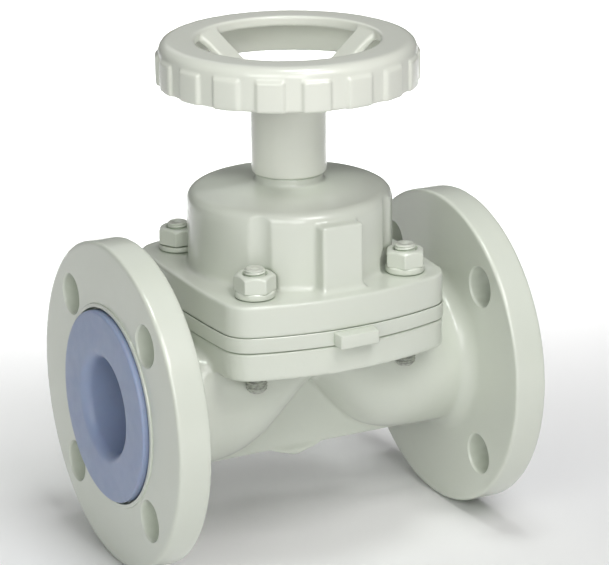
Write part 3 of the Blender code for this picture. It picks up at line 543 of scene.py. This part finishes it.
def thread(name, radius, low, high, zones, depth, pitch, chamfer=(1.0, 1.0), at=(0, 0), steps=72):
    """A rod with a helical thread in the given height zones, chamfered at both ends."""
    heights = {low, high}
    for start, end in zones:
        heights.update(np.linspace(start, end, max(2, int((end - start) / pitch * 10))))
    for k in range(7):
        heights.update((low + chamfer[0] * k / 6, high - chamfer[1] * k / 6))
    rows = []
    for z in sorted(heights):
        row = []
        for k in range(steps):
            a = 2 * pi * k / steps
            cut = 0.0
            for start, end in zones:
                fade = min(max((z - start) / pitch, 0), 1) * min(max((end - z) / pitch, 0), 1)
                if z > high - 2 * pitch or z < low + 2 * pitch:
                    fade = 1.0 if start <= z <= end else 0.0
                cut = max(cut, fade * depth * (0.5 - 0.5 * cos(2 * pi * (z / pitch - k / steps))) ** 0.8)
            r = min(radius - cut, radius - chamfer[1] + (high - z) * 0.9, radius - chamfer[0] + (z - low) * 0.9)
            row.append((at[0] + r * cos(a), at[1] + r * sin(a), z))
        rows.append(row)
    last = rows[-1]
    for share, drop in ((0.72, 0.0), (0.55, 0.12), (0.3, 0.55)):
        rows.append([(at[0] + share * (x - at[0]), at[1] + share * (y - at[1]), z - drop) for x, y, z in last])
    return skin(name, rows)


def washer(name, outer_r, inner_r, low, high, at=(0, 0), paint=0.0):
    """A plain ring; paint is the height of the paint that fills the corner under the nut."""
    edge = min(0.45, (high - low) * 0.3)
    inside = [(inner_r, high, 0.3)]
    if paint:
        inside = [(inner_r, high + paint, 0.2), (outer_r - 0.75, high + paint, 0.1)]
    return lathe(name, rounded([(outer_r, high, edge), (outer_r, low, edge), (inner_r, low, 0.2)] + inside,
                               closed=True), 96, at, closed=True)


NUT_FLATS, HUB_NUT_FLATS = 17.0, 19.0


def nut(name, flats, bore_r, low, high, at=(0, 0), turn=0.0):
    """A hexagon nut with turned-off corners and an opened thread, its edges softened by paint."""
    corner = flats / 2 / cos(pi / 6)
    hexagon = [(at[0] + corner * cos(turn + pi / 6 + k * pi / 3),
                at[1] + corner * sin(turn + pi / 6 + k * pi / 3)) for k in range(6)]
    made = skin(name, [[(x, y, z) for x, y in hexagon] for z in (low, high)])
    crown = [(0, high + 1), (flats / 2 - 1.9, high + 1), (flats / 2 - 0.6, high - 0.05),
             (corner + 0.2, high - 1.55), (corner + 1, high - 2.4), (corner + 1, low + 0.9),
             (corner - 0.05, low + 0.25), (flats / 2, low), (flats / 2 - 1, low - 1), (0, low - 1)]
    carve(made, lathe(name + "_crown", crown, 72, at), operation="INTERSECT")
    soften(made, 0.34, 4, 0.6)
    opening = [(0, high + 2), (bore_r + 1.4 + 2, high + 2), (bore_r + 0.75, high - 0.1),
               (bore_r, high - 0.9), (bore_r, low + 0.6), (bore_r + 0.8, low - 0.2),
               (bore_r + 1.5, low - 1), (0, low - 1)]
    carve(made, lathe(name + "_bore", opening, 64, at))
    return settle(made)


# ---------------------------------------------------------------- handwheel

def smooth_step(t):
    t = min(max(t, 0.0), 1.0)
    return t * t * (3 - 2 * t)


def make_handwheel():
    under = RIM_TOP - RIM_PLATE_T
    base_r = RIM_R - GRIP_DEPTH
    crown = [(CROWN_R + (base_r - CROWN_R) * sin(a), RIM_TOP - CROWN_DROP * (1 - cos(a)))
             for a in np.linspace(0, pi / 2, 10)]
    wall = list(np.linspace(RIM_TOP - 5.2, RIM_TOP - 7.4, 8)) + [152.0, 149.0, 146.0]
    inner = rounded([(59.0, RIM_BOTTOM), (SKIRT_R, RIM_BOTTOM, 0.5), (SKIRT_R, under, 2.5),
                     (EYE_R, under, 0.8), (EYE_R, RIM_TOP, 1.1), (50.0, RIM_TOP)])
    rows, count = [], GRIPS * GRIP_STEPS
    for k in range(count):
        a = 2 * pi * k / count + GRIP_TURN
        share = abs((k / GRIP_STEPS + 0.5) % 1.0 - 0.5)
        pad = smooth_step((PAD_SHARE - share) / PAD_FLANK)
        outer = [(base_r + GRIP_DEPTH * pad * smooth_step((RIM_TOP - PAD_HEAD - z) / PAD_SLOPE), z) for z in wall]
        end = outer[-1][0]
        section = crown + outer + [(end, RIM_BOTTOM + 0.9), (end - 0.3, RIM_BOTTOM + 0.3),
                                   (end - 0.9, RIM_BOTTOM)] + inner
        rows.append([(r * cos(a), r * sin(a), z) for r, z in section])
    wheel = skin("handwheel_casting", rows, loop=True)
    hub = lathe("hub", rounded([(0, HUB_TOP), (HUB_R, HUB_TOP, 2.6), (HUB_R, HUB_BOTTOM, 0.9),
                                (0, HUB_BOTTOM)]), 120)
    carve(wheel, *[spoke(f"spoke_{k}", SPOKE_START + 2 * pi * k / SPOKES) for k in range(SPOKES)],
          hub, operation="UNION")
    soften(wheel, 0.55, 5, 0.6)
    carve(wheel, drill("hub_bore", HUB_BORE_R, HUB_BOTTOM - BEYOND, HUB_ROOF, steps=96),
          drill("journal_hole", JOURNAL_R + GAP, HUB_ROOF - BEYOND, RIM_TOP))
    key_low, key_high = span("handwheel_key")
    carve(wheel, block("keyway", (0, key_low.y - GAP, HUB_ROOF - BEYOND),
                       (key_high.x + GAP, key_high.y + GAP, RIM_TOP), 0.05, 0.1))
    return settle(wheel)


def spoke(name, heading):
    """A flat bar from the hub's top up to the rim's plate, flared where it meets each."""
    turn = Matrix.Rotation(heading, 3, "Z")
    rim, flare = 44.6, 2.4
    rows = []
    for r in np.linspace(11.0, 47.5, 48):
        t = (r - SPOKE_IN[0]) / (SPOKE_OUT[0] - SPOKE_IN[0])
        mix = min(max(t, -0.1), 1.0)
        half, low, high = (SPOKE_IN[i] + (SPOKE_OUT[i] - SPOKE_IN[i]) * mix for i in (1, 2, 3))
        half += flare * (exp(-((rim - r) / flare) ** 2) if r < rim else 1.0)
        half += 1.6 * exp(-((r - 17.0) / 2.2) ** 2)
        row = []
        for sy, sz, start in ((1, 1, 0), (-1, 1, 1), (-1, -1, 2), (1, -1, 3)):
            for k in range(5):
                a = (start + k / 4) * pi / 2
                z_mid, z_half = (low + high) / 2, (high - low) / 2
                row.append(turn @ Vector((r, sy * (half - SPOKE_EDGE) + SPOKE_EDGE * cos(a),
                                          z_mid + sz * (z_half - SPOKE_EDGE) + SPOKE_EDGE * sin(a))))
        rows.append(row)
    return skin(name, rows)


def make_spindle():
    low, high = spindle_low.z, spindle_high.z
    nut_low = span("hub_nut")[0].z
    lower = thread("spindle_rod", THREAD_R, SHOULDER_Z, HUB_ROOF - GAP, [(62.0, 126.0)], 1.6, 4.0)
    pin_z = (span("compressor_pin_front")[0].z + span("compressor_pin_front")[1].z) / 2
    spigot = rounded([(0, SHOULDER_Z + 2), (JOURNAL_R, SHOULDER_Z + 2), (JOURNAL_R, pin_z + 2.4),
                      (4.2, pin_z + 2.4), (4.2, pin_z - 2.4), (JOURNAL_R, pin_z - 2.4),
                      (JOURNAL_R, low, 1.0), (0, low)])
    journal = thread("journal", JOURNAL_R, HUB_ROOF - 3, high, [(nut_low - 1, high)], 0.7, 1.75)
    key_low, key_high = span("handwheel_key")
    carve(lower, lathe("spigot", spigot, 64), journal, operation="UNION")
    carve(lower, block("key_slot", (key_low.x - GAP, key_low.y - GAP, key_low.z - GAP),
                       (key_high.x + BEYOND, key_high.y + GAP, key_high.z + GAP), 0.05, 0.1))
    return settle(lower)


def seal_ring(name, node):
    low, high = span(node)
    wire = (high.z - low.z) / 2
    middle = high.x - wire
    around = [(middle + wire * cos(a), (low.z + high.z) / 2 + wire * sin(a))
              for a in (2 * pi * k / 20 for k in range(20))]
    return lathe(name, around[::-1], 96, closed=True)


# ---------------------------------------------------------------- materials

class Finish:
    """A material built up from procedural layers in the piece's own coordinates."""

    def __init__(self, name, color, roughness, metallic=0.0, **fixed):
        self.made = bpy.data.materials.new(name)
        self.made.use_nodes = True
        self.tree = self.made.node_tree
        self.shader = self.tree.nodes["Principled BSDF"]
        self.place = self.tree.nodes.new("ShaderNodeTexCoord").outputs["Object"]
        self.color, self.roughness, self.height = self.flat(color), None, None
        self.shader.inputs["Roughness"].default_value = roughness
        self.shader.inputs["Metallic"].default_value = metallic
        for key, value in fixed.items():
            self.shader.inputs[key.replace("_", " ")].default_value = value

    def flat(self, color):
        node = self.tree.nodes.new("ShaderNodeRGB")
        node.outputs[0].default_value = (*color, 1.0)
        return node.outputs[0]

    def node(self, kind, **settings):
        node = self.tree.nodes.new(kind)
        for key, value in settings.items():
            setattr(node, key, value)
        return node

    def noise(self, size, detail=3.0, rough=0.5, stretch=(1, 1, 1)):
        """Noise whose patches are about size millimetres across."""
        scaled = self.node("ShaderNodeMapping")
        scaled.inputs["Scale"].default_value = stretch
        self.tree.links.new(self.place, scaled.inputs["Vector"])
        made = self.node("ShaderNodeTexNoise")
        made.inputs["Scale"].default_value = 1000.0 / size
        made.inputs["Detail"].default_value = detail
        made.inputs["Roughness"].default_value = rough
        self.tree.links.new(scaled.outputs["Vector"], made.inputs["Vector"])
        return made.outputs["Fac"]

    def remap(self, source, low, high, to_low=0.0, to_high=1.0):
        made = self.node("ShaderNodeMapRange", interpolation_type="SMOOTHSTEP")
        self.tree.links.new(source, made.inputs["Value"])
        for key, value in (("From Min", low), ("From Max", high), ("To Min", to_low), ("To Max", to_high)):
            made.inputs[key].default_value = value
        return made.outputs["Result"]

    def math(self, operation, a, b):
        made = self.node("ShaderNodeMath", operation=operation)
        for k, value in enumerate((a, b)):
            if isinstance(value, (int, float)):
                made.inputs[k].default_value = value
            else:
                self.tree.links.new(value, made.inputs[k])
        return made.outputs[0]

    def tint(self, mask, color):
        """Blends the colour so far towards another where the mask is 1."""
        made = self.node("ShaderNodeMix", data_type="RGBA")
        self.tree.links.new(mask, made.inputs["Factor"])
        self.tree.links.new(self.color, made.inputs["A"])
        made.inputs["B"].default_value = (*color, 1.0)
        self.color = made.outputs["Result"]

    def emboss(self, height, depth):
        """Adds relief of depth millimetres."""
        made = self.node("ShaderNodeBump")
        made.inputs["Strength"].default_value = 1.0
        made.inputs["Distance"].default_value = depth * MM
        self.tree.links.new(height, made.inputs["Height"])
        if self.height:
            self.tree.links.new(self.height, made.inputs["Normal"])
        self.height = made.outputs["Normal"]

    def vary(self, mask, low, high):
        """Roughness from low to high as the mask goes from 0 to 1."""
        self.roughness = self.remap(mask, 0.3, 0.7, low, high)

    def creases(self, reach, low=0.0, high=1.0):
        """1 deep in a crease, 0 in the open."""
        made = self.node("ShaderNodeAmbientOcclusion", samples=6)
        made.inputs["Distance"].default_value = reach * MM
        return self.remap(made.outputs["AO"], high, low)

    def along(self, axis, low, high, mirrored=False):
        """0 at low, 1 at high and beyond, in millimetres along the piece's own X, Y or Z."""
        split = self.node("ShaderNodeSeparateXYZ")
        self.tree.links.new(self.place, split.inputs["Vector"])
        at = split.outputs[axis]
        return self.remap(self.math("ABSOLUTE", at, 0.0) if mirrored else at, low * MM, high * MM)

    def done(self):
        self.tree.links.new(self.color, self.shader.inputs["Base Color"])
        if self.roughness:
            self.tree.links.new(self.roughness, self.shader.inputs["Roughness"])
        if self.height:
            self.tree.links.new(self.height, self.shader.inputs["Normal"])
        return self.made


def shaded(tone, factors):
    return [c * k for c, k in zip(tone, factors)]


def enamel(name, tone, gloss, cast, peel=0.002, smooth_beyond=None, stained=None):
    """Glossy enamel: broad and fine tone variation, painted shade in creases, orange peel, cast relief.

    The cast relief fades out over smooth_beyond along X, where the metal was turned before
    painting; smooth_beyond also switches on painted shade far inside deep recesses. stained lists dirty ends:
    heights from clean to dirty, shade, and how strongly.
    """
    paint = Finish(name, tone, gloss, Coat_Weight=0.6, Coat_Roughness=0.08)
    paint.tint(paint.remap(paint.noise(80, 2), 0.35, 0.70, 0.0, 0.4), shaded(tone, (0.97, 0.985, 0.975)))
    paint.tint(paint.remap(paint.noise(14, 2), 0.45, 0.75, 0.0, 0.2), shaded(tone, (1.015, 1.01, 0.985)))
    paint.tint(paint.remap(paint.noise(1.6, 3), 0.60, 0.80, 0.0, 0.07), [c * 0.90 for c in tone])
    # painted shade: a darker, greener tone deep in tight creases, from an occlusion mask
    paint.tint(paint.creases(3.0, 0.30, 0.75), shaded(tone, (0.70, 0.76, 0.68)))
    # painted shade: on the body only, a darker tone far inside deep recesses such as the bolt holes
    if smooth_beyond:
        paint.tint(paint.creases(20.0, 0.15, 0.60), shaded(tone, (0.68, 0.72, 0.66)))
    paint.vary(paint.noise(9, 3), gloss - 0.01, gloss + 0.04)
    for size, depth in ((7.0, 0.35 * cast), (2.2, 0.08 * cast)):
        relief = paint.noise(size, 3, 0.55)
        if smooth_beyond:
            near, far = smooth_beyond
            relief = paint.math("MULTIPLY", relief, paint.along("X", far, near, mirrored=True))
        paint.emboss(relief, depth)
    paint.emboss(paint.noise(1.1, 1), peel)
    for low, high, shade, amount in stained or ():
        patches = paint.remap(paint.noise(1.6, 4, 0.6), 0.40, 0.65, 0.5 * amount, amount)
        paint.tint(paint.math("MULTIPLY", paint.along("Z", low, high), patches), shade)
    return paint.done()


def plastic(name, tone, gloss, **fixed):
    made = Finish(name, tone, gloss, **fixed)
    made.tint(made.remap(made.noise(45, 2), 0.35, 0.70, 0.0, 0.6), shaded(tone, (1.05, 1.05, 0.98)))
    made.tint(made.remap(made.noise(4, 4), 0.50, 0.75, 0.0, 0.25), [c * 0.90 for c in tone])
    # painted shade: a much darker tone deep in creases and along joints, from an occlusion mask
    made.tint(made.creases(2.5, 0.25, 0.65), [c * 0.45 for c in tone])
    made.vary(made.noise(6, 3), gloss - 0.06, gloss + 0.08)
    made.emboss(made.noise(9.0, 2), 0.10)
    made.emboss(made.noise(0.7, 2), 0.006)
    return made.done()


def rubber(name, tone, gloss):
    made = Finish(name, tone, gloss)
    made.tint(made.remap(made.noise(3, 4), 0.45, 0.70, 0.0, 0.5), [c * 1.5 for c in tone])
    made.vary(made.noise(2, 3), gloss - 0.08, gloss + 0.08)
    made.emboss(made.noise(0.5, 3), 0.02)
    return made.done()


def turned_metal(name, tone, gloss, rings=0.5, groove_shade=(0.05, 0.045, 0.04)):
    """Metal with lathe rings along its axis, faint stains and painted shade in its grooves."""
    made = Finish(name, tone, gloss, metallic=1.0)
    made.tint(made.remap(made.noise(5, 4), 0.45, 0.75, 0.0, 0.4), [c * 0.75 for c in tone])
    # painted shade: near-black deep in grooves, from an occlusion mask
    made.tint(made.creases(1.5, 0.25, 0.70), groove_shade)
    made.vary(made.noise(2.5, 4), gloss - 0.08, gloss + 0.12)
    made.emboss(made.noise(rings, 1, stretch=(0.02, 0.02, 1.0)), 0.012)
    made.emboss(made.noise(0.4, 2), 0.004)
    return made.done()


PAINT = (0.636, 0.666, 0.592)
# painted light: the handwheel gets a lighter copy of the body's paint, standing in for the stronger light on it
# from above
WHEEL_PAINT_PAINTED_LIGHT = (0.705, 0.722, 0.650)
LINING = (0.285, 0.345, 0.517)

ENAMEL_BODY = enamel("enamel_on_cast_body", PAINT, 0.30, 0.65, smooth_beyond=(68.0, 76.0))
ENAMEL_BONNET = enamel("enamel_on_bonnet", PAINT, 0.295, 0.10)
ENAMEL_WHEEL = enamel("enamel_on_handwheel", WHEEL_PAINT_PAINTED_LIGHT, 0.295, 0.08)
ENAMEL_SMALL = enamel("enamel_on_fasteners", PAINT, 0.30, 0.08)
STUD_TOP_DIRT = (69.7, 70.3, (0.40, 0.40, 0.35), 0.7)
STUD_UNDER_FLANGE = (21.4, 20.6, (0.20, 0.205, 0.18), 0.9)
ENAMEL_STUD = enamel("enamel_on_stud_ends", PAINT, 0.30, 0.08, stained=(STUD_TOP_DIRT, STUD_UNDER_FLANGE))
ENAMEL_RUBBER = enamel("enamel_on_rubber", PAINT, 0.33, 0.15, 0.005)
LINING_PLASTIC = plastic("fluoroplastic_lining", LINING, 0.36, Subsurface_Weight=0.12, Subsurface_Scale=0.003)
PTFE = plastic("white_fluoroplastic", (0.82, 0.82, 0.79), 0.42)
BLACK_RUBBER = rubber("black_rubber", (0.022, 0.022, 0.023), 0.62)
STEEL = turned_metal("turned_steel", (0.52, 0.52, 0.53), 0.30)
BRONZE = turned_metal("turned_bronze", (0.56, 0.36, 0.16), 0.32)


# ---------------------------------------------------------------- assembly

RECORD_BODIES = frame["record"]["behaviour"]["bodies"]
SLOT_OF = {part["node"]: part["material_slot"] for part in frame["record"]["subparts"]}


def body_with(node):
    return next(name for name, nodes in RECORD_BODIES.items() if node in nodes)


def fit(piece, node, finish, still=True):
    """Finishes a piece and puts it in its CAD node's place; if still, it rides on the same body."""
    piece.data.materials.clear()
    piece.data.materials.append(finish)
    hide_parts(node)
    if still:
        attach(piece, body_with(node))
    return piece


fit(make_body(), "body", ENAMEL_BODY)
fit(make_lining(), "body_liner", LINING_PLASTIC)
fit(make_bonnet(), "bonnet", ENAMEL_BONNET)
fit(make_handwheel(), "handwheel", ENAMEL_WHEEL)
fit(make_spindle(), "spindle", STEEL)
fit(seal_ring("neck_seal", "neck_o_ring"), "neck_o_ring", BLACK_RUBBER)
fit(seal_ring("spindle_seal", "spindle_o_ring"), "spindle_o_ring", BLACK_RUBBER)

for finished, node, finish in ((make_facing(), "diaphragm_facing", PTFE),
                               (make_cushion(), "diaphragm_cushion", ENAMEL_RUBBER)):
    fit(finished, node, finish, still=False)
    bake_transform(finished)

TURNS = {"front_left": 5.5, "front_right": 31.0, "rear_left": 28.0, "rear_right": 12.0}      # degrees
CRACKED = "rear_left"                        # the nut whose paint has opened along its washer
for place, spot in STUDS.items():
    low, high = span("bonnet_stud_" + place)
    stud = thread("stud_" + place, STUD_R, low.z, high.z, [(low.z, 22.0), (66.5, high.z)], 0.55, STUD_PITCH,
                  (1.6, 0.9), spot)
    fit(stud, "bonnet_stud_" + place, ENAMEL_STUD)
    low, high = span("bonnet_washer_" + place)
    fit(washer("washer_" + place, (high.x - low.x) / 2, STUD_R + GAP, low.z, high.z, spot,
               0.0 if place == CRACKED else 0.65), "bonnet_washer_" + place, ENAMEL_SMALL)
    low, high = span("bonnet_nut_" + place)
    fit(nut("nut_" + place, NUT_FLATS, STUD_R + 0.15, low.z, high.z, spot, radians(TURNS[place])),
        "bonnet_nut_" + place, ENAMEL_SMALL)

low, high = span("hub_washer")
fit(washer("wheel_washer", (high.x - low.x) / 2, JOURNAL_R + GAP, low.z, high.z), "hub_washer", STEEL)
low, high = span("hub_nut")
fit(nut("wheel_nut", HUB_NUT_FLATS, JOURNAL_R + 0.15, low.z, high.z), "hub_nut", ENAMEL_SMALL)

HIDDEN = {"paint": ENAMEL_SMALL, "steel": STEEL, "bronze": BRONZE, "rubber": BLACK_RUBBER}
for node, cad in frame["nodes"].items():
    if not cad.hide_render:
        for layer in cad.material_slots:
            layer.link = "OBJECT"
            layer.material = HIDDEN[SLOT_OF[node]]


# ---------------------------------------------------------------- floor, light, camera

FLOOR_HALF, FLOOR_GAP = 6000, 0.6


def stage_floor():
    z, half = body_low.z - FLOOR_GAP, FLOOR_HALF
    floor = new_piece("floor", [(-half, -half, z), (half, -half, z), (half, half, z), (-half, half, z)],
                      [(0, 1, 2, 3)])
    pale = bpy.data.materials.new("pale_floor")
    pale.use_nodes = True
    shader = pale.node_tree.nodes["Principled BSDF"]
    shader.inputs["Base Color"].default_value = (0.86, 0.86, 0.86, 1.0)
    shader.inputs["Roughness"].default_value = 0.9
    shader.inputs["Specular IOR Level"].default_value = 0.1
    floor.data.materials.append(pale)


def softbox(name, heading, height, size, power, color=(1, 1, 1)):
    """A light aimed at the part: heading from -Y towards +X and height above the floor, degrees."""
    around, up = radians(heading), radians(height)
    at = LIT_POINT + LIGHT_DISTANCE * Vector((sin(around) * cos(up), -cos(around) * cos(up), sin(up)))
    return area_light(name, at, LIT_POINT, size, power, color)


def area_light(name, at, towards, size, power, color=(1, 1, 1)):
    light = bpy.data.lights.new(name, "AREA")
    light.shape, light.size, light.size_y = "RECTANGLE", size[0], size[1]
    light.energy, light.color = power, color
    lamp = bpy.data.objects.new(name, light)
    lamp.location = at
    lamp.rotation_mode = "QUATERNION"
    lamp.rotation_quaternion = (towards - at).to_track_quat("-Z", "Y")
    bpy.context.scene.collection.objects.link(lamp)
    return light


def stage_backdrop():
    """A pale dome round the set. It is seen, but neither lights nor shades the part."""
    arch = [(BACKDROP_R * sin(a), BACKDROP_R * cos(a)) for a in (pi * k / 24 for k in range(25))]
    arch[0], arch[-1] = (0, BACKDROP_R), (0, -BACKDROP_R)
    dome = lathe("backdrop_dome", arch, 64)
    pale = bpy.data.materials.new("pale_backdrop")
    pale.use_nodes = True
    shader = pale.node_tree.nodes["Principled BSDF"]
    shader.inputs["Base Color"].default_value = (0.0, 0.0, 0.0, 1.0)
    shader.inputs["Specular IOR Level"].default_value = 0.0
    shader.inputs["Emission Color"].default_value = (1.0, 1.0, 1.0, 1.0)
    shader.inputs["Emission Strength"].default_value = BACKDROP_GLOW
    dome.data.materials.append(pale)
    dome.visible_diffuse = dome.visible_glossy = dome.visible_transmission = dome.visible_shadow = False


BACKDROP_R, BACKDROP_GLOW = 2600.0, 0.72
LIT_POINT, LIGHT_DISTANCE = Vector((0.0, 0.0, 0.04)), 1.7
stage_floor()
stage_backdrop()
softbox("key", 5, 49, (0.7, 0.7), 11.1, (1.0, 0.965, 0.985))
softbox("front", -18, 20, (0.5, 0.9), 6.0)
softbox("fill", -48, 28, (0.8, 0.8), 7.6, (0.97, 1.0, 0.96))
softbox("top", 12, 80, (0.5, 0.5), 8.5, (0.96, 1.0, 0.97))
softbox("back", 165, 35, (0.9, 0.9), 1.2)
behind_x, behind_y = 0.40, 0.79              # a narrow beam straight down on the floor behind the part
backdrop_light = area_light("backdrop", Vector((behind_x, behind_y, 1.4)), Vector((behind_x, behind_y, 0.0)),
                            (0.9, 0.9), 6.0)
backdrop_light.spread = radians(40)

world = bpy.data.worlds.new("studio")
bpy.context.scene.world = world
world.use_nodes = True
backdrop = world.node_tree.nodes["Background"]
backdrop.inputs["Color"].default_value = (1.0, 1.0, 1.0, 1.0)
backdrop.inputs["Strength"].default_value = 0.12

camera = bpy.data.objects.new("camera", bpy.data.cameras.new("camera"))
camera.data.lens = CAMERA_LENS
camera.data.sensor_width = 36.0
camera.data.clip_start, camera.data.clip_end = 0.05, 50.0
columns = [Vector(axis) for axis in CAMERA_AXES]
pose = Matrix([[columns[j][i] for j in range(3)] for i in range(3)]).to_4x4()
pose.translation = CAMERA_AT
camera.matrix_world = pose
bpy.context.scene.collection.objects.link(camera)
bpy.context.scene.camera = camera
bpy.context.scene.view_settings.view_transform = "Standard"
